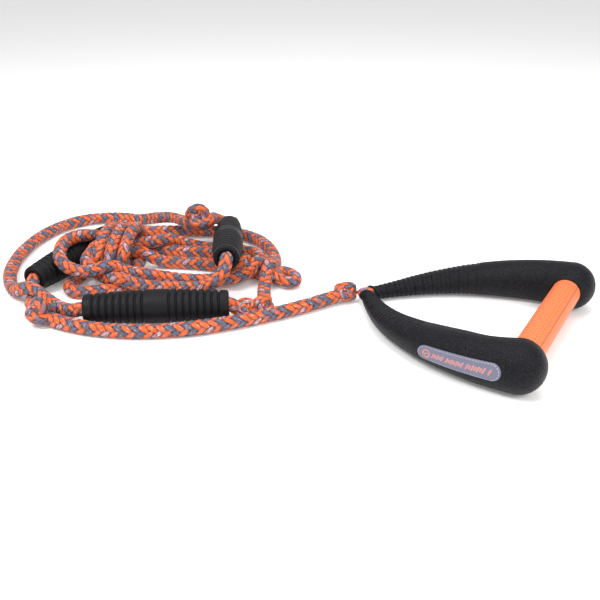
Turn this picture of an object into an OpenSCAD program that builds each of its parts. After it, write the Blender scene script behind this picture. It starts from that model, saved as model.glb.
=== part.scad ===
/* [Handle] */
// Distance from the rope's pivot at the apex to the grip bar's axis
handle_length = 192; // [180:1:205]
// Distance between the centres of the two bulb ends
bulb_spacing = 192; // [184:2:200]
// Diameter of the bulb at the end of each arm
bulb_d = 50; // [48:1:52]
// How far the middle of each arm bows outwards
arm_bow = 26.5; // [20:0.5:30]

/* [Grip bar] */
// Outer diameter of the aluminium bar
bar_d = 25; // [24:0.5:26]
// Wall thickness of the aluminium bar
bar_wall = 1.6; // [1.2:0.1:2]
// Outer diameter of the moulded grip
grip_d = 29; // [28:0.5:31]
// Diameter of the rope legs inside the arms
bridle_d = 6; // [5:0.5:6]

/* [Badge] */
// Length of the badge on the outer side of each arm, as a share of the arm
badge_share = 0.36; // [0.3:0.02:0.4]
// Height of the badge around the arm, in degrees of its oval section
badge_angle = 43; // [36:1:50]

/* [Rope] */
// Diameter of the tow rope
rope_d = 15; // [13:0.5:15]
// Outer radius of the piled coil
coil_r = 105; // [100:1:108]
// Height of the piled coil
coil_h = 26; // [22:1:28]

/* [Floats] */
// Length of each rope float
float_l = 147; // [130:1:147]
// Diameter of each rope float at its middle band
float_d = 35; // [32:0.5:36]
// Diameter of each rope float at its ends
float_end_d = 28; // [26:0.5:31]
// Number of grooves on each side of a float's middle band
groove_count = 8; // [4:1:9]

/* [Hidden] */
$fn = 64;

eva = "#1c1c1f";
rope_colour = "#e0653a";

// The origin is under the middle of the handle, and the apex is on the -X side.
apex = [-108, 0, 10];
bar_x = apex[0] + handle_length;
bar_z = bulb_d / 2;
bulb_y = bulb_spacing / 2;
rope_r = rope_d / 2;
fit_gap = 0.4;

// Each arm runs from its tip beside the apex to the bulb. These are its stations.
arm_stations = [0, 0.1, 0.25, 0.5, 0.75, 0.88, 1];
arm_widths = [17, 21, 29, 38, 42, 41.5, bulb_d];
arm_heights = [15, 17.5, 22.5, 32.5, 42, 46, bulb_d];
arm_mid_z = [9, 9.6, 11.8, 16.7, 21.4, 23.2, bulb_d / 2];
// How much further out than the bow the section's middle lies, which leaves a waist before the bulb.
arm_shifts = [0, 0, 0.5, 0.5, 1, 2.5, 0];
arm_tip = [7, 6.5];
arm_steps = 26;
cap_steps = 6;
ring_sides = 28;

arm_chord = [handle_length, bulb_y] - arm_tip;
arm_out = [-arm_chord[1], arm_chord[0]] / norm(arm_chord);
function arm_bulge(t) = arm_bow * 4 * t * (1 - t)
    + lookup(t, [for (i = [0:len(arm_stations) - 1]) [arm_stations[i], arm_shifts[i]]]);
function arm_plan(t) = [apex[0], 0] + arm_tip + arm_chord * t + arm_out * arm_bulge(t);
function arm_heading(t) = unit(arm_chord + arm_out * arm_bow * 4 * (1 - 2 * t));
function unit(v) = v / norm(v);
function arm_width(t) = lookup(t, [for (i = [0:len(arm_stations) - 1]) [arm_stations[i], arm_widths[i]]]);
function arm_height(t) = lookup(t, [for (i = [0:len(arm_stations) - 1]) [arm_stations[i], arm_heights[i]]]);
function arm_z(t) = lookup(t, [for (i = [0:len(arm_stations) - 1]) [arm_stations[i], arm_mid_z[i]]]);
// A point on the arm's oval section at station t. Angle 0 faces out of the handle, 90 faces up.
function arm_point(t, angle, proud = 0) = let (
        out = [-arm_heading(t)[1], arm_heading(t)[0]],
        reach = (arm_width(t) / 2 + proud) * cos(angle)
    ) [arm_plan(t)[0] + out[0] * reach, arm_plan(t)[1] + out[1] * reach,
       arm_z(t) + (arm_height(t) / 2 + proud) * sin(angle)];
function arm_ring(t) = [for (j = [0:ring_sides - 1]) arm_point(t, 360 * j / ring_sides)];
// The bulb's outer half is a cap that carries on past the last station.
function cap_ring(lift) = let (
        ahead = arm_heading(1) * bulb_d / 2 * sin(lift),
        centre = [arm_plan(1)[0], arm_plan(1)[1], arm_z(1)]
    ) [for (p = arm_ring(1)) centre + (p - centre) * cos(lift) + [ahead[0], ahead[1], 0]];
arm_rings = concat([for (i = [0:arm_steps]) arm_ring(i / arm_steps)],
    [for (i = [1:cap_steps]) cap_ring(88 * i / cap_steps)]);

// Rope routes, by hand. Each runs along the rope's middle.
lead_route = [[-120, -4, 10], [-128, -14, 9], [-137, -28, 8], [-149, -50, 8], [-164, -78, 8],
    [-184, -107, 8], [-201, -131, 8], [-220, -153, 8], [-240, -171, 8], [-262, -186, 8],
    [-286, -199, 8], [-312, -208, 8], [-338, -212, 8], [-360, -214, 10]];
link_route = [[-378, -212, 10], [-388, -207, 8], [-400, -200, 7.6], [-412, -192, 7.6],
    [-422, -184, 9], [-429, -177, 13], [-431.5, -171, 17.8]];
loop_route = [[-339, -194.5, 17.8], [-350, -197, 18.5], [-368, -194, 21], [-388, -190, 23.5],
    [-406, -188, 24.5], [-424, -188, 23], [-442, -186, 17], [-460, -177, 10], [-480, -160, 8],
    [-501, -136, 8], [-520, -107, 8], [-536, -73, 8], [-546, -35, 8], [-545, 4, 8],
    [-530, 34, 8], [-500, 54, 12], [-468, 60, 20], [-440, 56, 30], [-412, 48, 35],
    [-385, 38, 36], [-355, 27, 38]];

// Floats: middle point, the turn of the axis away from +X seen from above, and its rise.
front_mid = [-273, -150, 17.8];
front_turn = 34;
left_mid = [-441, -93, 17.8];
left_turn = 97;
right_mid = [-288.5, 1, 33.5];
right_turn = 123.5;
right_rise = -7;
coil_mid = [-334, -3, 0];

module swept_tube(route, radius, sides = 10) {
    last = len(route) - 1;
    function heading(i) = unit(route[min(i + 1, last)] - route[max(i - 1, 0)]);
    function side(i) = unit(cross(heading(i), [0, 0, 1]));
    function ring(i) = [for (j = [0:sides - 1]) route[i]
        + radius * cos(360 * j / sides) * side(i)
        + radius * sin(360 * j / sides) * cross(side(i), heading(i))];
    skin([for (i = [0:last]) ring(i)]);
}

// Closes a stack of rings, each with the same number of points, into one solid.
module skin(rings) {
    n = len(rings[0]);
    m = len(rings);
    points = [for (r = rings) for (p = r) p];
    walls = [for (i = [0:m - 2]) for (j = [0:n - 1])
        [i * n + j, i * n + (j + 1) % n, (i + 1) * n + (j + 1) % n, (i + 1) * n + j]];
    first = [for (j = [n - 1:-1:0]) j];
    end = [for (j = [0:n - 1]) (m - 1) * n + j];
    polyhedron(points, concat(walls, [first, end]), convexity = 8);
}

module along(mid, turn, rise = 0) {
    translate(mid) rotate([0, 0, turn]) rotate([0, 90 - rise, 0]) children();
}

module upper_half() {
    intersection() {
        children();
        translate([-200, 0.05, -10]) cube([400, 200, 100]);
    }
}

// The rope leg inside an arm: along the arm's middle, then round into the bar's end.
bridle_bend = 12;
bridle_route = concat(
    [for (i = [1:14]) let (t = 0.06 * i, p = arm_plan(t)) [p[0], p[1], arm_z(t)]],
    [for (a = [90:-15:0]) [bar_x - bridle_bend * (1 - cos(a)), bulb_y - 9 + bridle_bend * sin(a), bar_z]],
    [[bar_x, bulb_y - 16, bar_z], [bar_x, bulb_y - 24, bar_z], [bar_x, bulb_y - 33, bar_z]]);

module arm() {
    color(eva)
    difference() {
        upper_half() skin(arm_rings);
        swept_tube(concat([bridle_route[0] - [8, 8, 0]], bridle_route), bridle_d / 2 + 0.3, 12);
        translate([bar_x, 0, bar_z]) rotate([-90, 0, 0]) {
            cylinder(r = grip_d / 2 + 0.4, h = bulb_y - 20);
            cylinder(r = bar_d / 2 + 0.2, h = bulb_y - 9);
        }
    }
}
module far_arm() { arm(); }
module near_arm() { mirror([0, 1, 0]) arm(); }

module bar_tube() {
    color("silver")
    translate([bar_x, 0, bar_z]) rotate([90, 0, 0])
    difference() {
        cylinder(r = bar_d / 2, h = bulb_spacing - 24, center = true);
        cylinder(r = bar_d / 2 - bar_wall, h = bulb_spacing, center = true);
    }
}

module grip_sleeve() {
    color("#f2703a")
    translate([bar_x, 0, bar_z]) rotate([90, 0, 0])
    difference() {
        cylinder(r = grip_d / 2, h = bulb_spacing - 42, center = true);
        cylinder(r = bar_d / 2, h = bulb_spacing, center = true);
    }
}

// The plug fills the bar's end. The rope leg goes through it and is knotted behind it.
module plug() {
    color("dimgray")
    translate([bar_x, bulb_y - 12, bar_z]) rotate([-90, 0, 0])
    difference() {
        union() {
            cylinder(r = bar_d / 2, h = 2);
            translate([0, 0, -14]) cylinder(r = bar_d / 2 - bar_wall, h = 14.5);
        }
        translate([0, 0, -20]) cylinder(r = bridle_d / 2 + 0.3, h = 40);
    }
}
module far_plug() { plug(); }
module near_plug() { mirror([0, 1, 0]) plug(); }

module bridle() { color("#c9c9c4") swept_tube(bridle_route, bridle_d / 2, 12); }
module far_bridle() { bridle(); }
module near_bridle() { mirror([0, 1, 0]) bridle(); }

module bridle_knot() {
    color("#c9c9c4")
    translate([bar_x, bulb_y - 33, bar_z]) rotate([90, 0, 0])
    rotate_extrude() polygon([[0, 0], [5, 0], [7.5, 3], [7.5, 9], [5, 12], [0, 12]]);
}
module far_bridle_knot() { bridle_knot(); }
module near_bridle_knot() { mirror([0, 1, 0]) bridle_knot(); }

// A thin stadium plate bent to the outer side of the arm, sunk a little into it.
badge_sunk = 0.6;
badge_proud = 1;
badge_mid_t = 0.787;
badge_mid_angle = 2.5;
badge_tilt = 2;
badge_rows = 22;
badge_cols = 8;
module badge() {
    span = badge_share / 2;
    function across(u) = badge_angle / 2 * (abs(u) < 0.8 ? 1 : sqrt(max(0.03, 1 - pow((abs(u) - 0.8) / 0.2, 2))));
    function row(u) = let (t = badge_mid_t + span * u, half = across(u), mid = badge_mid_angle + badge_tilt * u) concat(
        [for (j = [0:badge_cols]) arm_point(t, mid - half + 2 * half * j / badge_cols, badge_proud)],
        [for (j = [badge_cols:-1:0]) arm_point(t, mid - half + 2 * half * j / badge_cols, -badge_sunk)]);
    color("#8a8b9c")
    skin([for (i = [0:badge_rows]) row(sin(90 * (2 * i / badge_rows - 1)))]);
}
module far_badge() { badge(); }
module near_badge() { mirror([0, 1, 0]) badge(); }

// The short bare length of rope that bends at the apex.
module rope_neck() { color(rope_colour) translate(apex) sphere(r = 8.5); }

module lump(mid, turn, length, diameter) {
    straight = max(0.1, length - diameter * 0.9);
    color(rope_colour)
    along(mid, turn)
    rotate_extrude()
    intersection() {
        hull() for (side = [-1, 1]) translate([0, side * straight / 2]) circle(r = diameter / 2, $fn = 32);
        translate([0, -length / 2]) square([diameter, length]);
    }
}

module splice_knot() {
    color(rope_colour)
    difference() {
        hull() {
            translate([-117.5, -2.5, 9.5]) rotate([0, 90, 35]) cylinder(r = rope_r, h = 1, center = true, $fn = 24);
            translate([-128, -10.5, 10]) sphere(r = 9.6, $fn = 24);
            translate([-134, -21, 9.6]) sphere(r = 9.2, $fn = 24);
        }
        translate(apex) sphere(r = 8.9);
    }
}
module lead_rope() { color(rope_colour) swept_tube(lead_route, rope_r); }
module left_knot() { lump([-372, -214, 13.2], 0, 30, 26); }
module left_link() { color(rope_colour) swept_tube(link_route, rope_r); }
module left_core() { rope_core(left_mid, left_turn); }
module right_core() { rope_core(right_mid, right_turn, right_rise); }
module front_core() { rope_core(front_mid, front_turn); }
module rope_core(mid, turn, rise = 0) {
    color(rope_colour) along(mid, turn, rise) cylinder(r = rope_r, h = float_l + 12, center = true);
}
module float_space(mid, turn, rise = 0) {
    along(mid, turn, rise) cylinder(r = float_d / 2 + fit_gap, h = float_l + 2, center = true);
}

// The outer shape of the piled turns, hollowed where a float lies in them.
module rope_coil() {
    round = 7;
    color(rope_colour)
    difference() {
        translate(coil_mid) rotate_extrude(convexity = 4)
        polygon(concat([[0, 0.1], [coil_r - round, 0.1]],
            [for (a = [-75:15:75]) [coil_r - round + round * cos(a), a < 0 ? round + 0.1 + round * sin(a) : coil_h - round + round * sin(a)]],
            [[coil_r - round, coil_h], [0, coil_h]]));
        translate([-355, -40, -1]) cylinder(r = 30, h = coil_h + 2);
        float_space(left_mid, left_turn);
        float_space(right_mid, right_turn, right_rise);
        float_space(front_mid, front_turn);
    }
}

// The big loose knot on the left of the pile, lying against the left float.
module loose_knot() {
    color(rope_colour)
    difference() {
        translate([-400, -104, 26.6]) sphere(r = 26.4);
        float_space(left_mid, left_turn);
    }
}
module right_knot() { lump([-345, 30, coil_h + 14], 150, 34, 26); }
module outer_loop() { color(rope_colour) swept_tube(loop_route, rope_r); }
module front_knot() { lump([-202, -102.5, 15], front_turn, 18, 17); }

// The eye at the boat's end, lying flat against the pile.
module tow_loop() {
    color(rope_colour)
    translate([-206, -4, rope_r + 0.1])
    rotate_extrude() translate([15, 0]) circle(r = rope_r);
}

// A barrel of foam with grooves either side of a plain middle band. It turns on the rope.
module rope_float() {
    band = 25;
    pitch = (float_l / 2 - band / 2 - 4) / groove_count;
    groove_w = 1.8;
    groove_deep = 1.6;
    bore_r = rope_r + 0.8;
    function skin_r(s) = float_d / 2 - (float_d - float_end_d) / 2
        * pow(max(0, s - band / 2) / (float_l / 2 - band / 2), 1.6);
    function groove(s) = [[skin_r(s), s - groove_w / 2], [skin_r(s) - groove_deep, s - groove_w / 4],
        [skin_r(s) - groove_deep, s + groove_w / 4], [skin_r(s), s + groove_w / 2]];
    half = concat([for (i = [0:groove_count - 1]) each groove(band / 2 + 1 + i * pitch)],
        [[skin_r(float_l / 2) , float_l / 2 - 3], [skin_r(float_l / 2) - 2.5, float_l / 2]]);
    lower = [for (i = [len(half) - 1:-1:0]) [half[i][0], -half[i][1]]];
    color(eva)
    rotate_extrude(convexity = 10)
    polygon(concat([[bore_r, float_l / 2]], [[bore_r, -float_l / 2]], lower, half));
}
module float_front() { along(front_mid, front_turn) rope_float(); }
module float_left() { along(left_mid, left_turn) rope_float(); }
module float_right() { along(right_mid, right_turn, right_rise) rope_float(); }

near_arm();
far_arm();
bar_tube();
grip_sleeve();
near_plug();
far_plug();
near_bridle();
far_bridle();
near_bridle_knot();
far_bridle_knot();
near_badge();
far_badge();
rope_neck();
splice_knot();
lead_rope();
left_knot();
left_link();
left_core();
rope_coil();
loose_knot();
right_core();
right_knot();
outer_loop();
front_core();
front_knot();
tow_loop();
float_front();
float_left();
float_right();
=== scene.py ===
"""The looks of the tow rope handle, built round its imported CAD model. Metres, in the part's frame."""

import math

import bpy
import numpy as np
from mathutils import Euler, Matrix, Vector


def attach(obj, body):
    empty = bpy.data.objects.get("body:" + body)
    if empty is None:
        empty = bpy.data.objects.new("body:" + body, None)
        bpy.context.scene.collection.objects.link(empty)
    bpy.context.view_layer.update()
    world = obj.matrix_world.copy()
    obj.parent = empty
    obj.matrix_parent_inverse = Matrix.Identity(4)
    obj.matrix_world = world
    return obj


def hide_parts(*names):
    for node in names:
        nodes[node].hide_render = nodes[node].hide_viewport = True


MM = 0.001

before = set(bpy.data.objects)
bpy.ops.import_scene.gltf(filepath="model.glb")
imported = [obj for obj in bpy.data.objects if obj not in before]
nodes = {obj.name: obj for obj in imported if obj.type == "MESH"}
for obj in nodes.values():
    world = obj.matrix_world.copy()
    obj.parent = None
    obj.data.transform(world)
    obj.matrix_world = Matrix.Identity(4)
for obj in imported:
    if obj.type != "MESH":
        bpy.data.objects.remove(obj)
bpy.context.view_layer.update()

# ---------------------------------------------------------------- camera and stage
CAMERA_AT = (0.2197, -0.7109, 0.3817)
CAMERA_DOWN = math.radians(26)
CAMERA_TURN = math.radians(30)
SENSOR = 36
LENS = SENSOR * 800 / 600


def add_camera():
    data = bpy.data.cameras.new("camera")
    data.lens = LENS
    data.sensor_width = SENSOR
    data.clip_start = 0.01
    camera = bpy.data.objects.new("camera", data)
    camera.location = CAMERA_AT
    camera.rotation_euler = Euler((math.pi / 2 - CAMERA_DOWN, 0, CAMERA_TURN))
    bpy.context.scene.collection.objects.link(camera)
    bpy.context.scene.camera = camera


add_camera()


# ---------------------------------------------------------------- meshes
def mesh_object(name, points, faces):
    """A smooth-shaded mesh from points in millimetres and faces of four or three corners."""
    mesh = bpy.data.meshes.new(name)
    mesh.from_pydata((np.asarray(points) * MM).tolist(), [], [list(map(int, f)) for f in faces])
    mesh.shade_smooth()
    mesh.update()
    thing = bpy.data.objects.new(name, mesh)
    bpy.context.scene.collection.objects.link(thing)
    return thing


def grid_faces(rows, columns):
    """The faces of a tube of rings: rows rings of columns points each, closed round."""
    i, j = np.meshgrid(np.arange(rows - 1), np.arange(columns), indexing="ij")
    k = (j + 1) % columns
    square = np.stack([i * columns + j, i * columns + k, (i + 1) * columns + k, (i + 1) * columns + j], -1)
    return square.reshape(-1, 4)


def skin(name, rings):
    """One closed piece from a stack of rings, with a fan at each end."""
    rings = np.asarray(rings, float)
    rows, columns = rings.shape[:2]
    points = np.concatenate([rings.reshape(-1, 3), rings[:1].mean(1), rings[-1:].mean(1)])
    first, last = rows * columns, rows * columns + 1
    faces = grid_faces(rows, columns).tolist()
    top = (rows - 1) * columns
    for j in range(columns):
        k = (j + 1) % columns
        faces.append([first, k, j])
        faces.append([last, top + j, top + k])
    return mesh_object(name, points, faces)


def unit(v):
    v = np.asarray(v, float)
    return v / np.maximum(np.linalg.norm(v, axis=-1, keepdims=True), 1e-9)


def axis_of(turn, rise=0.0):
    t, q = math.radians(turn), math.radians(rise)
    return np.array([math.cos(t) * math.cos(q), math.sin(t) * math.cos(q), math.sin(q)])


# ---------------------------------------------------------------- the rope's route
# How far apart the rings of points are along a rope.
RING_STEP = 1.5
ROPE_D = 15.0
ROPE_R = ROPE_D / 2
FLOAT_L = 147.0
FLOAT_R = 17.5
FLOAT_END_R = 14.0
# Each float's middle and the direction of its axis.
FLOATS = {
    "float_front": (np.array([-273, -150, 17.8]), axis_of(34)),
    "float_left": (np.array([-441, -93, 17.8]), axis_of(97)),
    "float_right": (np.array([-288.5, 1, 33.5]), axis_of(123.5, -7)),
}
# Half the stretch of straight rope that runs through a float.
CORE_HALF = FLOAT_L / 2 + 8
FLOAT_BAND_HALF = 12.5


def through(name, sign):
    """Points along a float's axis: in at one end and out at the other."""
    mid, axis = FLOATS[name]
    return [tuple(mid + sign * axis * s) for s in np.linspace(-CORE_HALF, CORE_HALF, 9)]


# From the apex along the floor to the knot below the left float.
LEAD = [
    (-117, -2.5, 10), (-127, -11, 9.5), (-137, -27, 8.2), (-149, -50, 8), (-164, -78, 8), (-184, -107, 8),
    (-201, -131, 8), (-220, -153, 8), (-240, -171, 8), (-262, -186, 8), (-286, -199, 8), (-312, -208, 8),
    (-338, -212, 8), (-360, -214, 10), (-374, -213, 12),
]
LINK = [(-388, -207, 9), (-402, -199, 8), (-416, -190, 9), (-426, -181, 13)]
# Round the back of the pile, round its right side, and to the right end of the front float.
BACK = [
    (-450, -6, 15), (-447, 16, 10), (-434, 34, 8), (-410, 48, 8), (-384, 62, 8), (-356, 78, 8), (-328, 86, 8),
    (-298, 80, 8), (-268, 62, 8), (-244, 36, 12), (-229, 6, 21), (-221, -26, 19), (-206, -54, 10),
    (-192, -70, 8), (-184, -86, 10), (-190, -96, 14),
]
# The wide loop on the left, and over the top of the pile to the knot by the right float.
OUTER = [
    (-350, -197, 18.5), (-368, -194, 21), (-388, -190, 23.5), (-406, -188, 24.5), (-424, -188, 23),
    (-442, -186, 17), (-460, -177, 10), (-480, -160, 8), (-501, -136, 8), (-520, -107, 8), (-536, -73, 8),
    (-546, -35, 8), (-545, 4, 8), (-530, 34, 8), (-500, 54, 12), (-468, 60, 20), (-440, 56, 30),
    (-412, 50, 38), (-388, 42, 41), (-364, 30, 42), (-348, 30, 43), (-348, 46, 44), (-357, 64, 42),
    (-365, 81, 35), (-361, 95, 27), (-349, 98, 22), (-339, 87, 22),
]
# Out of the right float's near end, left along the front of the pile, and into the loose knot.
FRONT = [
    (-238, -76, 42), (-242, -88, 36), (-258, -92, 29), (-284, -94, 24), (-310, -102, 23), (-336, -116, 23),
    (-356, -126, 25), (-376, -122, 28), (-392, -110, 30), (-404, -94, 32), (-408, -72, 34),
]
# Back over the middle, under the right float, round the right side and along the front.
SECOND = [
    (-404, -46, 30), (-390, -20, 26), (-370, 0, 22), (-350, 15, 18), (-330, 28, 12), (-308, 37, 9),
    (-284, 42, 9), (-262, 36, 12), (-247, 17, 14), (-240, -8, 19), (-240, -32, 21), (-254, -50, 23),
    (-280, -66, 22), (-307, -82, 22), (-332, -99, 22), (-353, -115, 25),
]
# Over the left float and back.
BEND = [
    (-374, -136, 32), (-400, -146, 41), (-424, -138, 46), (-440, -112, 46), (-441, -84, 45), (-430, -58, 38),
    (-414, -38, 25), (-396, -20, 14),
]
# Under the rest along the middle, round the right side, and forward past the left float's near end.
THIRD = [
    (-372, -4, 8), (-350, 8, 8), (-328, 16, 8), (-304, 19, 8), (-280, 15, 8), (-263, 2, 8), (-252, -17, 9),
    (-251, -36, 10), (-262, -52, 10), (-286, -68, 9), (-312, -84, 8), (-336, -102, 8), (-354, -120, 8),
    (-370, -142, 8), (-386, -156, 8), (-402, -150, 8), (-409, -130, 8), (-411, -104, 10), (-406, -78, 18),
]
LAST = [
    (-392, -58, 23), (-368, -46, 20), (-345, -34, 10), (-322, -22, 8), (-300, -14, 8), (-278, -14, 8),
    (-256, -12, 8), (-238, -8, 8), (-222, -8, 8), (-210, -12, 8),
]

STRETCHES = [
    LEAD,
    LINK,
    through("float_left", 1),
    BACK,
    through("float_front", -1),
    OUTER,
    through("float_right", -1),
    FRONT,
    SECOND,
    BEND,
    THIRD,
    LAST,
]


def spline(points, per_span=12):
    """A smooth (Catmull-Rom) curve through the points."""
    p = np.asarray(points, float)
    p = np.concatenate([[2 * p[0] - p[1]], p, [2 * p[-1] - p[-2]]])
    a, b, c, d = p[:-3], p[1:-2], p[2:-1], p[3:]
    t = np.linspace(0, 1, per_span, endpoint=False)[None, :, None]
    a, b, c, d = (q[:, None] for q in (a, b, c, d))
    line = 0.5 * (2 * b + (c - a) * t + (2 * a - 5 * b + 4 * c - d) * t**2 + (3 * b - a - 3 * c + d) * t**3)
    return np.concatenate([line.reshape(-1, 3), p[-2:-1]])


def evenly(line, step):
    """The same curve with points about one step apart."""
    gaps = np.linalg.norm(np.diff(line, axis=0), axis=1)
    along = np.concatenate([[0], np.cumsum(gaps)])
    count = max(4, int(round(along[-1] / step)) + 1)
    at = np.linspace(0, along[-1], count)
    return np.stack([np.interp(at, along, line[:, k]) for k in range(3)], -1)


def inside_float(points, name):
    """Where along a float's axis each point is, and how far off it."""
    mid, axis = FLOATS[name]
    rel = points - mid
    along = rel @ axis
    off = rel - along[:, None] * axis
    return along, off


def float_radius(along):
    taper = np.clip((np.abs(along) - FLOAT_BAND_HALF) / (FLOAT_L / 2 - FLOAT_BAND_HALF), 0, 1)
    return FLOAT_R - (FLOAT_R - FLOAT_END_R) * taper**1.6


# The turns of rope that bind the pile on its left: an oval spiral round the strands.
WRAP_MID = np.array([-398.0, -62.0, 26.0])
WRAP_AXIS = axis_of(30)
WRAP_WIDE = 40.0
WRAP_HIGH = 18.2
WRAP_TURNS = 3.1
WRAP_PITCH = 14.6


def wrap_line():
    turn = np.linspace(-0.5, WRAP_TURNS - 0.5, 220) * 2 * math.pi
    back = np.cross([0, 0, 1], WRAP_AXIS)
    along = (turn / (2 * math.pi) - WRAP_TURNS / 2 + 0.5) * WRAP_PITCH
    line = WRAP_MID + along[:, None] * WRAP_AXIS + WRAP_WIDE * np.sin(turn)[:, None] * back
    line[:, 2] += WRAP_HIGH * np.cos(turn) + 1.2 * np.sin(2 * turn)
    line[:, 2] = np.maximum(line[:, 2], LOWEST)
    return evenly(line, RING_STEP)


SETTLE_STEP = 7.5
SETTLE_ROUNDS = 260
# What each round does: how far the rope falls, how far it goes back to where it was laid, and how far it
# straightens, the last two as shares of the way.
FALL = 0.25
HOLD_PLACE = 0.02
STRAIGHTEN = 0.22
# How close strands may come to each other, and to the turns that bind them, in diameters.
STRANDS_APART = 0.985
BINDING_APART = 0.93
# Where the floor holds the rope's middle line.
LOWEST = ROPE_R + 0.1


def settle(line, held, wrap):
    """Lets the rope settle: it keeps its length, doesn't pass through itself, the floats or the floor, and is
    drawn a little towards where it was laid."""
    p = line.copy()
    laid = line.copy()
    n = len(p)
    rest = np.linalg.norm(np.diff(p, axis=0), axis=1)
    free = (~held).astype(float)[:, None]
    i, j = np.triu_indices(n, 5)
    for _ in range(SETTLE_ROUNDS):
        p[:, 2] -= FALL * free[:, 0]
        p += HOLD_PLACE * (laid - p) * free
        # Bending: each point is drawn towards its neighbours' middle.
        middle = 0.5 * (p[:-2] + p[2:])
        p[1:-1] += STRAIGHTEN * (middle - p[1:-1]) * free[1:-1]
        # The rope against itself.
        gap = p[j] - p[i]
        far = np.abs(gap).max(1) < ROPE_D
        a, b, g = i[far], j[far], gap[far]
        dist = np.maximum(np.linalg.norm(g, axis=1), 1e-6)
        close = dist < ROPE_D * STRANDS_APART
        a, b, g, dist = a[close], b[close], g[close], dist[close]
        push = g / dist[:, None] * ((ROPE_D * STRANDS_APART - dist) * 0.5)[:, None]
        move = np.zeros_like(p)
        count = np.zeros(n)
        np.add.at(move, a, -push)
        np.add.at(move, b, push)
        np.add.at(count, a, 1)
        np.add.at(count, b, 1)
        p += move / np.maximum(np.sqrt(count), 1)[:, None] * free
        # The rope against the turns that bind it.
        gap = p[:, None] - wrap[None]
        dist = np.linalg.norm(gap, axis=2)
        nearest_turn = dist.argmin(1)
        dist = np.maximum(dist[np.arange(n), nearest_turn], 1e-6)
        hit = (dist < ROPE_D * BINDING_APART) & (free[:, 0] > 0)
        away = gap[np.arange(n), nearest_turn][hit] / dist[hit, None]
        p[hit] += away * (ROPE_D * BINDING_APART - dist[hit])[:, None] * 0.5
        # The rope against the floats.
        for name in FLOATS:
            along, off = inside_float(p, name)
            reach = float_radius(along) + ROPE_R
            dist = np.maximum(np.linalg.norm(off, axis=1), 1e-6)
            hit = (np.abs(along) < FLOAT_L / 2 + 4) & (dist < reach) & (free[:, 0] > 0)
            p[hit] += off[hit] / dist[hit, None] * (reach[hit] - dist[hit])[:, None] * 0.6
        p[:, 2] = np.maximum(p[:, 2], LOWEST)
        # Its length.
        for _ in range(4):
            d = np.diff(p, axis=0)
            size = np.maximum(np.linalg.norm(d, axis=1), 1e-6)
            fix = d * (0.5 * (size - rest) / size)[:, None] * 0.9
            p[:-1] += fix * free[:-1]
            p[1:] -= fix * free[1:]
    p[:, 2] = np.maximum(p[:, 2], LOWEST)
    return p


EASING_ROUNDS = 12


def rounded(line):
    """The line with its sharpest bends eased."""
    for _ in range(EASING_ROUNDS):
        line[1:-1] = 0.25 * line[:-2] + 0.5 * line[1:-1] + 0.25 * line[2:]
    return evenly(line, RING_STEP)


def rope_line():
    """The settled rope's middle line in millimetres."""
    route = [p for stretch in STRETCHES for p in stretch]
    line = evenly(spline(route), SETTLE_STEP)
    held = np.zeros(len(line), bool)
    for name in FLOATS:
        along, off = inside_float(line, name)
        held |= (np.abs(along) < CORE_HALF) & (np.linalg.norm(off, axis=1) < 2)
    held[: int(60 / SETTLE_STEP)] = True
    line = settle(line, held, evenly(wrap_line(), 6))
    return rounded(evenly(spline(line, 6), RING_STEP))


# ---------------------------------------------------------------- braided rope
RING_POINTS = 48
PLAIT = 6
PLAIT_PITCH = 50.0
STRAND_BUMP = 1.0
WEAVE_LIFT = 0.55


def frames_along(line):
    """A side and an up direction at each point, turning as little as they can."""
    ahead = unit(np.gradient(line, axis=0))
    side = np.zeros_like(line)
    guess = np.cross(ahead[0], [0, 0, 1])
    if np.linalg.norm(guess) < 0.1:
        guess = np.array([1.0, 0, 0])
    side[0] = unit(guess)
    for k in range(1, len(line)):
        s = side[k - 1] - ahead[k] * (side[k - 1] @ ahead[k])
        side[k] = s / max(np.linalg.norm(s), 1e-9)
    return side, np.cross(ahead, side)


def plait_surface(along, angle, radius):
    """The plait's radius, and for the shader which strand is on top, how far across it, and how deep; the
    shader paints shade where it is deep.
    """
    turn = angle / (2 * math.pi) * PLAIT
    drift = along / PLAIT_PITCH * PLAIT
    u, v = turn + drift, turn - drift
    i, j = np.floor(u), np.floor(v)
    across_u, across_v = u - i, v - j
    lift_u = np.cos(math.pi / 2 * (i + v - 0.5) - math.pi / 4)
    lift_v = -np.cos(math.pi / 2 * (u - 0.5 + j) - math.pi / 4)
    bump_u = np.sqrt(np.clip(1 - (2 * across_u - 1) ** 2, 0, 1))
    bump_v = np.sqrt(np.clip(1 - (2 * across_v - 1) ** 2, 0, 1))
    scale = radius / ROPE_R
    h_u = (STRAND_BUMP * bump_u + WEAVE_LIFT * lift_u) * scale
    h_v = (STRAND_BUMP * bump_v + WEAVE_LIFT * lift_v) * scale
    top = h_u >= h_v
    base = radius - (STRAND_BUMP + WEAVE_LIFT) * scale
    height = np.maximum(h_u, h_v)
    strand = np.where(top, np.mod(i, PLAIT), PLAIT + np.mod(j, PLAIT))
    across = np.where(top, across_u, across_v)
    depth = np.clip(height / ((STRAND_BUMP + WEAVE_LIFT) * scale), 0, 1)
    return base + height, strand, across, depth


# The tint of each of the twelve strands: 0 orange, 0.5 blue-grey, 1 white.
STRAND_TINTS = np.array([0, 0.5, 0, 0.5, 0, 1, 0, 0, 0.5, 0, 0.5, 0])


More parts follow.
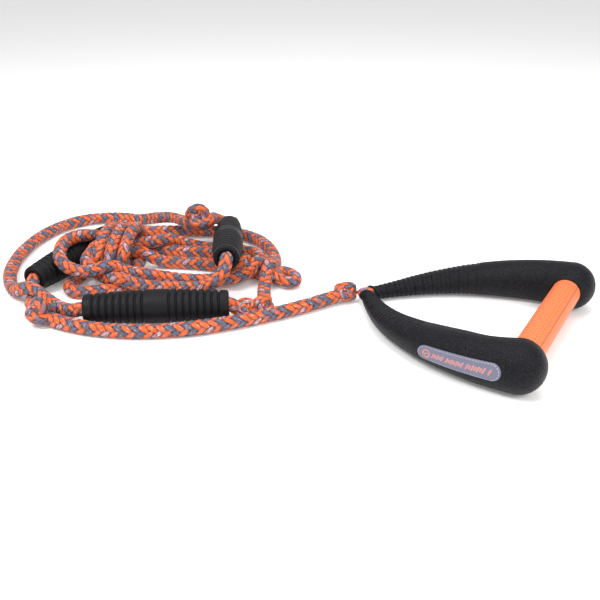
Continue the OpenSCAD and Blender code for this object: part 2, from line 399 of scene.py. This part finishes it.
def braided_tube(name, line, radius=ROPE_R, start=0.0, ring_points=RING_POINTS, share=1.0):
    """A plaited tube along a line. share scales its radius, at every ring or at each."""
    side, up = frames_along(line)
    gaps = np.concatenate([[0], np.cumsum(np.linalg.norm(np.diff(line, axis=0), axis=1))]) + start
    angle = np.linspace(0, 2 * math.pi, ring_points, endpoint=False)
    # A little irregularity, as in any rope that has been used.
    wobble = 1 + 0.018 * np.sin(gaps / 23.0) + 0.014 * np.sin(gaps / 9.7 + 1.3)
    a, s = np.meshgrid(angle, gaps)
    r, strand, across, depth = plait_surface(s, a, (radius * wobble * share)[:, None])
    outward = np.cos(a)[..., None] * side[:, None] + np.sin(a)[..., None] * up[:, None]
    rings = line[:, None] + r[..., None] * outward
    rings[..., 2] = np.maximum(rings[..., 2], 0.05)
    thing = skin(name, rings)
    tint = STRAND_TINTS[strand.astype(int).ravel()]
    # The last two points are the middles of the ends.
    values = {
        "tint": np.concatenate([tint, np.zeros(2)]),
        "across": np.concatenate([across.ravel() + strand.ravel() * 3, np.zeros(2)]),
        "along": np.concatenate([s.ravel(), np.zeros(2)]),
        "depth": np.concatenate([depth.ravel(), np.ones(2)]),
    }
    for key, data in values.items():
        layer = thing.data.attributes.new(key, "FLOAT", "POINT")
        layer.data.foreach_set("value", data.astype(np.float32))
    return thing


# ---------------------------------------------------------------- materials
def new_material(name):
    material = bpy.data.materials.new(name)
    material.use_nodes = True
    tree = material.node_tree
    shader = tree.nodes["Principled BSDF"]
    return material, tree, shader


def node(tree, kind, **settings):
    made = tree.nodes.new(kind)
    for key, value in settings.items():
        if key in made.inputs:
            made.inputs[key].default_value = value
        else:
            setattr(made, key, value)
    return made


def ramp(tree, stops, source, interpolation="LINEAR"):
    made = tree.nodes.new("ShaderNodeValToRGB")
    made.color_ramp.interpolation = interpolation
    elements = made.color_ramp.elements
    while len(elements) < len(stops):
        elements.new(0.5)
    for element, (place, colour) in zip(elements, stops):
        element.position = place
        element.color = (*colour, 1)
    tree.links.new(source, made.inputs["Fac"])
    return made.outputs["Color"]


def mix(tree, fac, a, b, blend="MIX"):
    made = tree.nodes.new("ShaderNodeMix")
    made.data_type = "RGBA"
    made.blend_type = blend
    for socket, value in ((made.inputs[0], fac), (made.inputs[6], a), (made.inputs[7], b)):
        if isinstance(value, bpy.types.NodeSocket):
            tree.links.new(value, socket)
        elif isinstance(value, tuple):
            socket.default_value = (*value, 1)
        else:
            socket.default_value = value
    return made.outputs[2]


def attribute(tree, name):
    made = tree.nodes.new("ShaderNodeAttribute")
    made.attribute_name = name
    return made.outputs["Fac"]


ORANGE = (0.50, 0.062, 0.008)
PALE_ORANGE = (0.74, 0.15, 0.026)
BLUE_GREY = (0.035, 0.038, 0.060)
PALE_GREY = (0.14, 0.138, 0.20)
WHITE = (0.62, 0.57, 0.65)
# The next colour is painted shade, for the gaps between the strands.
PAINTED_GROOVE_SHADE = (0.004, 0.002, 0.003)


def rope_material():
    material, tree, shader = new_material("rope_braid")
    tint, across = attribute(tree, "tint"), attribute(tree, "across")
    along, depth = attribute(tree, "along"), attribute(tree, "depth")
    joined = node(tree, "ShaderNodeCombineXYZ")
    tree.links.new(across, joined.inputs[0])
    tree.links.new(along, joined.inputs[1])
    stretch = node(tree, "ShaderNodeVectorMath", operation="MULTIPLY")
    tree.links.new(joined.outputs[0], stretch.inputs[0])
    stretch.inputs[1].default_value = (9.0, 0.27, 1)
    fibres = node(tree, "ShaderNodeTexNoise", Scale=1.0, Detail=3.0)
    tree.links.new(stretch.outputs[0], fibres.inputs["Vector"])
    patch = node(tree, "ShaderNodeVectorMath", operation="MULTIPLY")
    tree.links.new(joined.outputs[0], patch.inputs[0])
    patch.inputs[1].default_value = (0.33, 0.11, 1)
    patches = node(tree, "ShaderNodeTexNoise", Scale=1.0, Detail=1.0)
    tree.links.new(patch.outputs[0], patches.inputs["Vector"])
    orange = mix(tree, fibres.outputs["Fac"], ORANGE, PALE_ORANGE)
    grey = mix(tree, fibres.outputs["Fac"], BLUE_GREY, PALE_GREY)
    is_grey = ramp(tree, [(0.2, (0, 0, 0)), (0.3, (1, 1, 1))], tint)
    is_white = ramp(tree, [(0.7, (0, 0, 0)), (0.8, (0.75, 0.75, 0.75))], tint)
    colour = mix(tree, is_grey, orange, grey)
    broken = ramp(tree, [(0.47, (0, 0, 0)), (0.55, (1, 1, 1))], fibres.outputs["Fac"])
    colour = mix(tree, is_white, colour, mix(tree, broken, ORANGE, WHITE))
    pale = ramp(tree, [(0.56, (0, 0, 0)), (0.66, (1, 1, 1))], fibres.outputs["Fac"])
    colour = mix(tree, mix(tree, 0.55, (0, 0, 0), pale), colour, WHITE)
    swap = ramp(tree, [(0.60, (0, 0, 0)), (0.64, (0.8, 0.8, 0.8))], patches.outputs["Fac"])
    colour = mix(tree, swap, colour, PALE_GREY)
    # Painted shade: where the plait sinks between strands, the colour is darkened towards near-black,
    # standing in for the shade the strands cast on each other.
    shade = ramp(tree, [(0.34, (0.0, 0.0, 0.0)), (0.80, (1, 1, 1))], depth)
    colour = mix(tree, shade, PAINTED_GROOVE_SHADE, colour)
    tree.links.new(colour, shader.inputs["Base Color"])
    shader.inputs["Roughness"].default_value = 0.65
    shader.inputs["Specular IOR Level"].default_value = 0.2
    shader.inputs["Sheen Weight"].default_value = 0.06
    bump = node(tree, "ShaderNodeBump", Strength=0.35, Distance=0.0006)
    tree.links.new(fibres.outputs["Fac"], bump.inputs["Height"])
    tree.links.new(bump.outputs["Normal"], shader.inputs["Normal"])
    return material


def grained_material(
    name, colour, roughness, grain, strength, distance, specular, pale, marked=None, grain_and_sheen_specks=False
):
    """A colour with a fine grain, pale times as light at its lightest. marked gives the colours where the
    vertex attribute mark is 0.5 and 1, and a speckled grain has more contrast; its light specks are grain and
    painted sheen."""
    material, tree, shader = new_material(name)
    place = node(tree, "ShaderNodeTexCoord")
    noise = node(tree, "ShaderNodeTexNoise", Scale=grain, Detail=4.0)
    tree.links.new(place.outputs["Object"], noise.inputs["Vector"])
    lighter = tuple(min(1, c * pale) for c in colour)
    light = noise.outputs["Fac"]
    if grain_and_sheen_specks:
        # Grain and painted sheen: the light specks also stand in for the foam's speckled highlights.
        light = ramp(tree, [(0.44, (0, 0, 0)), (0.68, (1, 1, 1))], light)
    shown = mix(tree, light, colour, lighter)
    if marked is not None:
        mark = attribute(tree, "mark")
        shown = mix(tree, ramp(tree, [(0.2, (0, 0, 0)), (0.5, (1, 1, 1))], mark), shown, marked[0])
        shown = mix(tree, ramp(tree, [(0.6, (0, 0, 0)), (0.9, (1, 1, 1))], mark), shown, marked[1])
    tree.links.new(shown, shader.inputs["Base Color"])
    shader.inputs["Roughness"].default_value = roughness
    shader.inputs["Specular IOR Level"].default_value = specular
    bump = node(tree, "ShaderNodeBump", Strength=strength, Distance=distance)
    tree.links.new(noise.outputs["Fac"], bump.inputs["Height"])
    tree.links.new(bump.outputs["Normal"], shader.inputs["Normal"])
    return material


def dress(thing, material):
    thing.data.materials.clear()
    thing.data.materials.append(material)
    return thing


# name, colour, roughness, grain, strength, distance, specular, pale
MATERIALS = {
    "rope": rope_material(),
    # The arm's light specks are grain and painted sheen, standing in for the foam's speckled highlights.
    "arm": grained_material(
        "arm_foam", (0.0035, 0.0035, 0.0046), 0.42, 820, 0.9, 0.0009, 0.12, 5.0, grain_and_sheen_specks=True
    ),
    "float": grained_material("float_foam", (0.005, 0.005, 0.0062), 0.5, 1200, 0.3, 0.0004, 0.14, 2.2),
    # The grip's marked colours are painted shade, darkening its sunk marks and the groove of its parting
    # line.
    "grip": grained_material(
        "grip_rubber", (0.70, 0.165, 0.052), 0.5, 900, 0.2, 0.0003, 0.4, 1.15,
        marked=((0.42, 0.10, 0.035), (0.30, 0.07, 0.03)),
    ),
    "metal": grained_material("bar_metal", (0.7, 0.7, 0.72), 0.3, 400, 0.03, 0.0001, 0.5, 1.05),
    "plug": grained_material("plug_plastic", (0.02, 0.02, 0.022), 0.5, 700, 0.1, 0.0002, 0.4, 1.2),
    "badge": grained_material(
        "badge_face", (0.125, 0.125, 0.18), 0.42, 500, 0.08, 0.0002, 0.45, 1.12,
        marked=((0.36, 0.36, 0.44), (0.66, 0.13, 0.045)),
    ),
    "bridle": grained_material("bridle_cord", (0.62, 0.62, 0.58), 0.7, 1500, 0.4, 0.0004, 0.3, 1.2),
}


# ---------------------------------------------------------------- the rope
def nearest(line, point):
    return int(np.argmin(np.linalg.norm(line - np.asarray(point, float), axis=1)))


def knot_line(mid, axis, size):
    """A closed trefoil about an axis: the rope's turns in a tied knot."""
    t = np.linspace(0, 2 * math.pi, 160)
    x = (np.sin(t) + 2 * np.sin(2 * t)) / 3
    y = (np.cos(t) - 2 * np.cos(2 * t)) / 3
    z = -np.sin(3 * t)
    a = unit(np.cross(axis, [0.1, 0.2, 1]))
    b = np.cross(axis, a)
    wide, deep = size
    line = np.asarray(mid) + wide * (x[:, None] * a + y[:, None] * b) + deep * z[:, None] * unit(axis)
    return evenly(line, RING_STEP)


# Each knot's middle, axis, size across and along the axis, rope radius, and the CAD node that it stands for.
KNOTS = {
    "knot_left": ((-372, -214, 14.5), (0.95, 0.2, 0.2), (9.5, 6.5), 6.3, "left_knot"),
    "knot_right": ((-350, 30, 42), (0.6, 0.6, 0.5), (12, 8), 7.0, "right_knot"),
    "knot_front": ((-197, -99, 13.5), (0.8, 0.55, 0.1), (5.6, 5), 5.2, "front_knot"),
    "knot_corner": ((-187, -84, 12), (0.3, 0.9, 0.35), (7, 5.5), 5.4, None),
    "knot_splice": ((-128, -11, 11), (0.5, 0.85, 0), (6.5, 7.5), 5.2, "splice_knot"),
}

# Each stretch's piece of rope, and the place where it ends and the next begins.
PIECE_ENDS = [
    ("rope_lead", (-388, -207, 9)),
    ("rope_left", (-268, 62, 8)),
    ("rope_front", (-339, -194, 18)),
    ("rope_outer", (-388, 42, 41)),
    ("rope_right", (-356, -126, 25)),
    ("rope_second", (-374, -136, 32)),
    ("rope_end", LAST[-1]),
]

PIECE_NODES = {
    "rope_lead": ("lead_rope", "left_link"),
    "rope_left": ("left_core", "rope_coil"),
    "rope_front": ("front_core",),
    "rope_outer": ("outer_loop",),
    "rope_right": ("right_core",),
}


# The fewest rings in a piece of rope.
SHORTEST = 40
# How thick the rope is where it meets the apex, as a share of the rest, and how soon it is whole.
APEX_SHARE = 0.25
APEX_TAPER = 14


def build_rope(floats):
    line = rope_line()
    along = np.concatenate([[0], np.cumsum(np.linalg.norm(np.diff(line, axis=0), axis=1))])
    knots = {}
    lines = {"wrap_turns": (wrap_line(), 7.2, "loose_knot")}
    for name, (mid, axis, size, radius, replaced) in KNOTS.items():
        lines[name] = (knot_line(mid, unit(axis), size), radius, replaced)
    for name, (path, radius, replaced) in lines.items():
        path[:, 2] = np.maximum(path[:, 2], radius + 0.1)
        knot = braided_tube(name, path, radius, ring_points=40)
        dress(knot, MATERIALS["rope"])
        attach(knot, "rope")
        if replaced is not None:
            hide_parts(replaced)
        knots[name] = knot
    start = 0
    on_piece = {
        "rope_lead": ["knot_left", "knot_splice"],
        "rope_left": ["float_left"],
        "rope_front": ["knot_corner", "knot_front", "float_front"],
        "rope_outer": ["knot_right"],
        "rope_right": ["float_right"],
        "rope_second": ["wrap_turns"],
    }
    for name, end in PIECE_ENDS:
        stop = nearest(line[start + SHORTEST :], end) + start + SHORTEST
        if name == "rope_end":
            stop = len(line) - 1
        path = line[start : stop + 1]
        share = APEX_SHARE + (1 - APEX_SHARE) * smoothstep(0, APEX_TAPER, along[start : stop + 1])
        piece = braided_tube(name, path, start=float(along[start]), share=share)
        dress(piece, MATERIALS["rope"])
        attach(piece, "rope")
        if name in PIECE_NODES:
            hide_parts(*PIECE_NODES[name])
        last = name == "rope_end"
        extra = [floats.get(k) or knots[k] for k in on_piece.get(name, [])]
        if last:
            extra = [tow_eye()]
        start = stop


NECK_MID = (-108, 0, 10)
NECK_HALF_L = 9.6
NECK_R = 6.8


def build_neck():
    """The bare rope at the apex, a plaited ball about the point that the handle turns on."""
    across = np.cos(np.linspace(math.pi, 0, 40)) * NECK_HALF_L
    line = np.stack([NECK_MID[0] + across * 0.9, NECK_MID[1] + across * 0.42, NECK_MID[2] + 0 * across], -1)
    share = np.sqrt(np.maximum(0.03, 1 - (across / (NECK_HALF_L + 0.05)) ** 2))
    neck = braided_tube("neck_rope", line, NECK_R, ring_points=64, share=share)
    dress(neck, MATERIALS["rope"])
    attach(neck, "neck")
    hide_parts("rope_neck")


EYE_MID = (-203, -8, 10.5)


def tow_eye():
    """The small eye that ends the rope: a ring that leans a little."""
    t = np.linspace(0, 2 * math.pi, 90)
    ring = [EYE_MID[0] + 10.5 * np.cos(t), EYE_MID[1] + 10 * np.sin(t), EYE_MID[2] - 3 * np.cos(t)]
    path = evenly(np.stack(ring, -1), RING_STEP)
    eye = braided_tube("tow_eye", path, 6.6, ring_points=40)
    dress(eye, MATERIALS["rope"])
    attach(eye, "rope")
    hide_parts("tow_loop")
    return eye


# ---------------------------------------------------------------- the handle
APEX = np.array([-108.0, 0.0])
ARM_TIP = np.array([7.0, 6.5])
ARM_CHORD = np.array([192.0, 96.0]) - ARM_TIP
ARM_OUT = np.array([-ARM_CHORD[1], ARM_CHORD[0]]) / np.linalg.norm(ARM_CHORD)
ARM_BOW = 26.5
STATIONS = np.array([0, 0.1, 0.25, 0.5, 0.75, 0.88, 1])
ARM_WIDTHS = np.array([17, 21, 29, 38, 42, 41.5, 50])
ARM_HEIGHTS = np.array([15, 17.5, 22.5, 32.5, 42, 46, 50])
ARM_MID_Z = np.array([9, 9.6, 11.8, 16.7, 21.4, 23.2, 25])
ARM_SHIFTS = np.array([0, 0, 0.5, 0.5, 1, 2.5, 0])
ARM_MM = 215.0
BULB_R = 25.0
BAR_X = 84.0
BAR_Z = 25.0
GRIP_R = 14.5
GRIP_HALF = 75.0
RIB_PITCH = 5.2
RIB_DEEP = 1.6
RIBS_END = 0.555


def smooth_lookup(t, values):
    """The values at the stations, joined by a smooth curve."""
    slope = np.gradient(values, STATIONS)
    k = np.clip(np.searchsorted(STATIONS, t, side="right") - 1, 0, len(STATIONS) - 2)
    wide = STATIONS[k + 1] - STATIONS[k]
    u = np.clip((t - STATIONS[k]) / wide, 0, 1)
    return (
        (2 * u**3 - 3 * u**2 + 1) * values[k]
        + (u**3 - 2 * u**2 + u) * wide * slope[k]
        + (3 * u**2 - 2 * u**3) * values[k + 1]
        + (u**3 - u**2) * wide * slope[k + 1]
    )


def arm_frame(t):
    """The middle of the arm's section and the outward direction, at shares t along the arm."""
    bulge = ARM_BOW * 4 * t * (1 - t) + smooth_lookup(t, ARM_SHIFTS)
    plan = APEX + ARM_TIP + ARM_CHORD * t[..., None] + ARM_OUT * bulge[..., None]
    ahead = unit(ARM_CHORD + ARM_OUT * (ARM_BOW * 4 * (1 - 2 * t))[..., None])
    return plan, ahead, np.stack([-ahead[..., 1], ahead[..., 0]], -1)


def arm_surface(t, angle, proud):
    """Points on the arm's skin. Angle 0 faces out of the handle and 90 degrees faces up."""
    plan, _, out = arm_frame(t)
    reach = (smooth_lookup(t, ARM_WIDTHS) / 2 + proud) * np.cos(angle)
    flat = plan + out * reach[..., None]
    z = smooth_lookup(t, ARM_MID_Z) + (smooth_lookup(t, ARM_HEIGHTS) / 2 + proud) * np.sin(angle)
    return np.concatenate([flat, z[..., None]], -1)


def smoothstep(low, high, x):
    u = np.clip((x - low) / (high - low), 0, 1)
    return u * u * (3 - 2 * u)


def mirrored(rings, side):
    """The rings as they are for the far arm, and turned over for the near one."""
    if side > 0:
        return rings
    return (rings * np.array([1, -1, 1]))[:, ::-1]


def cut_bores(thing, side):
    """Opens the bulb where the grip and the bar go in."""
    cutters = []
    for radius, end in ((GRIP_R + 0.9, 96 - 20), (12.7, 96 - 9)):
        bpy.ops.mesh.primitive_cylinder_add(
            vertices=72,
            radius=radius * MM,
            depth=end * MM,
            location=(BAR_X * MM, side * end / 2 * MM, BAR_Z * MM),
            rotation=(math.pi / 2, 0, 0),
        )
        cutters.append(bpy.context.object)
    for cutter in cutters:
        cut = thing.modifiers.new("bore", "BOOLEAN")
        cut.operation = "DIFFERENCE"
        cut.solver = "EXACT"
        cut.object = cutter
    bpy.context.view_layer.update()
    made = bpy.data.meshes.new_from_object(thing.evaluated_get(bpy.context.evaluated_depsgraph_get()))
    thing.modifiers.clear()
    thing.data = made
    for cutter in cutters:
        bpy.data.objects.remove(cutter, do_unlink=True)


def build_arm(name, side, replaced):
    t = np.concatenate([np.linspace(0, RIBS_END, 218, endpoint=False), np.linspace(RIBS_END, 1, 64)])
    angle = np.linspace(0, 2 * math.pi, 88, endpoint=False)
    tt, aa = np.meshgrid(t, angle, indexing="ij")
    along = tt * ARM_MM
    # Rounded ribs over the top, the inner side and the underside. The outer side is smooth.
    ridge = np.sqrt(np.abs(np.sin(math.pi * along / RIB_PITCH)))
    where = (1 - smoothstep(0.86, 0.975, np.cos(aa))) * (tt < RIBS_END)
    deep = RIB_DEEP * smoothstep(0.0, 0.06, tt + 0.02) * (1 - 0.35 * smoothstep(0.3, RIBS_END, tt))
    # The ribbed part sits a little below the smooth part.
    proud = -where * (deep * (1 - ridge) + 0.25)
    body = arm_surface(tt, aa, proud)
    plan, ahead, _ = arm_frame(np.array([0.0, 1.0]))
    rings = list(body)
    first, last = body[0], body[-1]
    mid = np.array([*plan[0], 9.0])
    back = np.array([0.97, 0.12, 0])
    for lift in np.radians(np.linspace(6, 86, 16)):
        ring = mid + (first - mid) * math.cos(lift) - back * 9.6 * math.sin(lift)
        # The tip swells upwards, over the rope that goes in between the two arms.
        ring[:, 2] += (ring[:, 2] - 2.0) * 0.17 * math.sin(2 * lift)
        rings.insert(0, ring)
    mid = np.array([*plan[1], BAR_Z])
    front = np.array([*ahead[1], 0])
    for lift in np.radians(np.linspace(3, 88, 26)):
        rings.append(mid + (last - mid) * math.cos(lift) + front * BULB_R * math.sin(lift))
    rings = np.array(rings)
    rings[..., 1] = np.maximum(rings[..., 1], 0.06)
    rings[..., 2] = np.maximum(rings[..., 2], 0.02)
    arm = skin(name, mirrored(rings, side))
    cut_bores(arm, side)
    dress(arm, MATERIALS["arm"])
    for face in arm.data.polygons:
        face.use_smooth = True
    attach(arm, "handle")
    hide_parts(replaced)


BADGE_T = 0.787
BADGE_SPAN = 0.18
BADGE_ANGLE = 2.5
BADGE_TILT = 2.0
BADGE_HALF_ANGLE = 21.5


def badge_marks(s, w, inside):
    """What is on a point of the badge: 1 for orange print, 0.5 for a light stitch, 0 for the plain face.
    s and w are millimetres along and across the badge, and inside is how far in from its edge."""
    stitch = (np.abs(inside - 1.5) < 0.32) & (np.mod(s + 40, 2.6) < 1.6)
    round_part = np.abs(s) > 31
    bearing = np.arctan2(w, np.abs(s) - 31)
    stitch = np.where(round_part, (np.abs(inside - 1.5) < 0.32) & (np.mod(bearing + 4, 0.42) < 0.26), stitch)
    # A ring with a wave in it, then a row of slanted strokes in uneven groups.
    ring_s, ring = s + 28.5, np.hypot(s + 28.5, w)
    emblem = (np.abs(ring - 3.7) < 0.5) | ((np.abs(w - 0.9 * np.sin(ring_s * 1.7)) < 0.45) & (ring < 2.9))
    lean = s - 0.45 * w
    place = np.mod(lean + 60, 2.35)
    group = np.floor((lean + 60) / 2.35)
    tall = np.where(np.mod(group, 2) == 0, 2.3, 1.5)
    stroke = (np.abs(place - 1.1) < 0.62) & (np.abs(w) < tall)
    row = (lean > -22.5) & (lean < 31.0) & stroke & (np.mod(group, 8) != 5)
    return np.where(emblem | row, 1.0, np.where(stitch, 0.5, 0.0))


def build_badge(name, side, replaced):
    half_s = BADGE_SPAN * ARM_MM
    half_w = 7.9
    u = np.sin(np.linspace(-math.pi / 2, math.pi / 2, 260))
    v = np.sin(np.linspace(-1, 1, 60) * math.pi / 2 * 0.98)
    over = np.clip((np.abs(u) - (1 - half_w / half_s)) / (half_w / half_s), 0, 1)
    share = np.maximum(np.sqrt(np.maximum(0, 1 - over**2)), 0.02)
    uu, vv = np.meshgrid(u, v, indexing="ij")
    t = BADGE_T + BADGE_SPAN * uu
    angle = np.radians(BADGE_ANGLE + BADGE_TILT * uu + BADGE_HALF_ANGLE * vv * share[:, None])
    s, w = uu * half_s, vv * share[:, None] * half_w
    inside = half_w - np.hypot(np.maximum(np.abs(s) - (half_s - half_w), 0), w)
    mark = badge_marks(s, w, inside)
    edge = 1 - (1 - np.clip(inside / 0.9, 0, 1)) ** 2
    welt = 0.28 * np.exp(-(((inside - 1.5) / 0.75) ** 2))
    proud = -0.2 + 1.0 * edge + welt + 0.16 * (mark > 0.75) + 0.12 * (mark == 0.5)
    top = arm_surface(t, angle, proud)
    under = arm_surface(t[:, ::-20], angle[:, ::-20], np.full_like(t[:, ::-20], -0.6))
    rings = mirrored(np.concatenate([top, under], 1), side)
    badge = skin(name, rings)
    marks = np.concatenate([mark, np.zeros(under.shape[:2])], 1)
    if side < 0:
        marks = marks[:, ::-1]
    layer = badge.data.attributes.new("mark", "FLOAT", "POINT")
    layer.data.foreach_set("value", np.concatenate([marks.ravel(), [0, 0]]).astype(np.float32))
    dress(badge, MATERIALS["badge"])
    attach(badge, "handle")
    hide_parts(replaced)


def turned(name, profile, mid, axis, segments, change=None):
    """A piece turned about an axis from a closed profile of (radius, place) points.
    change gives what is added to the radius."""
    profile = np.asarray(profile, float)
    axis = unit(axis)
    side = unit(np.cross(axis, [0, 0, 1]))
    up = np.cross(axis, side)
    angle = np.linspace(0, 2 * math.pi, segments, endpoint=False)
    r, a = np.meshgrid(profile[:, 0], angle, indexing="ij")
    z = np.broadcast_to(profile[:, 1][:, None], r.shape)
    if change is not None:
        r = r + change(z, a, r)
    points = np.asarray(mid) + r[..., None] * (np.cos(a)[..., None] * side + np.sin(a)[..., None] * up)
    points = points + z[..., None] * axis
    rows, columns = r.shape
    i, j = np.meshgrid(np.arange(rows), np.arange(columns), indexing="ij")
    n, m = (i + 1) % rows, (j + 1) % columns
    faces = np.stack([i * columns + j, i * columns + m, n * columns + m, n * columns + j], -1).reshape(-1, 4)
    return mesh_object(name, points.reshape(-1, 3), faces)


GROOVES = 8
GROOVE_PITCH = (FLOAT_L / 2 - FLOAT_BAND_HALF - 4) / GROOVES


def float_profile():
    s = np.linspace(-FLOAT_L / 2 + 2.6, FLOAT_L / 2 - 2.6, 330)
    r = float_radius(s)
    off = (np.abs(s) - 13.5) / GROOVE_PITCH
    near = np.round(off)
    is_groove = (near >= 0) & (near < GROOVES)
    gap = np.where(is_groove, np.abs(off - near) * GROOVE_PITCH, 9)
    r = r - 1.7 * np.exp(-((gap / 0.95) ** 2)) - 0.35 * np.exp(-((gap / 2.1) ** 2))
    outer = list(zip(r, s))
    bend = np.radians(np.linspace(0, 90, 7))[1:]
    end = FLOAT_L / 2
    closing = [(r[-1] - 2.6 + 2.6 * math.cos(b), end - 2.6 + 2.6 * math.sin(b)) for b in bend]
    opening = [(r[0] - 2.6 + 2.6 * math.cos(b), -end + 2.6 - 2.6 * math.sin(b)) for b in bend[::-1]]
    bore = [(ROPE_R + 0.9, p) for p in np.linspace(end - 0.3, -end + 0.3, 24)]
    return opening + outer + closing + bore


def build_float(name, replaced, body):
    mid, axis = FLOATS[replaced]
    piece = turned(name, float_profile(), mid, axis, 96)
    dress(piece, MATERIALS["float"])
    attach(piece, body)
    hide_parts(replaced)
    return piece


# The grip's plain band lies between these two lines, in degrees from +X towards +Z. The rest is embossed.
PLAIN_FROM = -81.0
PLAIN_TO = 39.0


def build_grip():
    rows = np.linspace(-GRIP_HALF, GRIP_HALF, 300)
    profile = [(GRIP_R - 0.25, y) for y in rows] + [(12.6, y) for y in rows[::-30]]
    marks = {}

    def emboss(y, a, r):
        outer = r > 13.5
        turn = np.mod(-np.degrees(a) - PLAIN_FROM, 360)
        plain = turn < PLAIN_TO - PLAIN_FROM
        from_line = np.minimum(np.minimum(turn, 360 - turn), np.abs(turn - (PLAIN_TO - PLAIN_FROM)))
        line = np.exp(-((from_line / 1.6) ** 2))
        w = (turn - 120) * math.pi / 180 * GRIP_R
        row = np.floor(w / 3.4)
        across = np.mod(w, 3.4) - 1.7
        shift = np.where(np.mod(row, 2) == 0, 0.0, 2.7)
        place = np.mod(y + shift + 100, 5.4) - 2.7
        lean = np.where(np.mod(row, 2) == 0, 0.9, -0.9)
        mark = smoothstep(0.62, 0.30, np.abs(place - lean * across)) * smoothstep(1.25, 0.95, np.abs(across))
        mark = np.where(plain | (from_line < 5), 0, mark) * (np.abs(y) < GRIP_HALF - 3)
        # Painted shade: the colour darkens where the surface is sunk, in the marks and along the parting
        # line.
        marks["value"] = np.where(outer, np.maximum(mark, line), 0)
        return np.where(outer, np.where(plain, 0.15, 0.0) - 0.38 * mark - 0.5 * line, 0)

    grip = turned("grip_moulding", profile, (BAR_X, 0, BAR_Z), (0, 1, 0), 156, emboss)
    layer = grip.data.attributes.new("mark", "FLOAT", "POINT")
    layer.data.foreach_set("value", marks["value"].ravel().astype(np.float32))
    dress(grip, MATERIALS["grip"])
    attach(grip, "handle")
    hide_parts("grip_sleeve")


for side, word in ((1, "far"), (-1, "near")):
    build_arm(word + "_arm_foam", side, word + "_arm")
    build_badge(word + "_badge_face", side, word + "_badge")
build_grip()
build_neck()
build_rope(
    {
        "float_front": build_float("float_front_foam", "float_front", "front_float"),
        "float_left": build_float("float_left_foam", "float_left", "left_float"),
        "float_right": build_float("float_right_foam", "float_right", "right_float"),
    }
)

HIDDEN_NODES = {
    "bar_tube": "metal",
    "near_plug": "plug",
    "far_plug": "plug",
    "near_bridle": "bridle",
    "far_bridle": "bridle",
    "near_bridle_knot": "bridle",
    "far_bridle_knot": "bridle",
}
for key, material in HIDDEN_NODES.items():
    dress(nodes[key], MATERIALS[material])


# ---------------------------------------------------------------- floor and light
def add_stage():
    bpy.ops.mesh.primitive_plane_add(size=40, location=(-0.15, 0, -0.0002))
    floor = bpy.context.object
    floor.name = "floor"
    material, tree, shader = new_material("floor_white")
    shader.inputs["Base Color"].default_value = (0.92, 0.92, 0.92, 1)
    shader.inputs["Roughness"].default_value = 0.9
    shader.inputs["Emission Color"].default_value = (1, 1, 1, 1)
    shader.inputs["Emission Strength"].default_value = 0.12
    dress(floor, material)


def add_light(name, place, size, power, aim=(-0.15, 0, 0)):
    data = bpy.data.lights.new(name, "AREA")
    data.shape = "DISK"
    data.size = size
    data.energy = power
    lamp = bpy.data.objects.new(name, data)
    lamp.location = place
    direction = Vector(aim) - Vector(place)
    lamp.rotation_euler = direction.to_track_quat("-Z", "Y").to_euler()
    bpy.context.scene.collection.objects.link(lamp)


def add_world():
    """A pale room: bright round the horizon and overhead, darker between."""
    world = bpy.data.worlds.new("studio")
    world.use_nodes = True
    tree = world.node_tree
    back = tree.nodes["Background"]
    place = tree.nodes.new("ShaderNodeTexCoord")
    split = tree.nodes.new("ShaderNodeSeparateXYZ")
    tree.links.new(place.outputs["Generated"], split.inputs[0])
    room = [(0.0, 0.96), (0.22, 0.92), (0.42, 0.42), (0.7, 0.5), (1.0, 1.0)]
    colour = ramp(tree, [(at, (level, level, level)) for at, level in room], split.outputs["Z"])
    tree.links.new(colour, back.inputs[0])
    back.inputs[1].default_value = 1.0
    bpy.context.scene.world = world


add_stage()
add_world()
add_light("key", (-0.5, -0.9, 1.3), 0.55, 15)
add_light("fill", (0.85, -0.55, 0.95), 0.6, 9)
add_light("top", (-0.1, 0.3, 1.6), 1.2, 12)
bpy.context.scene.view_settings.view_transform = "Standard"
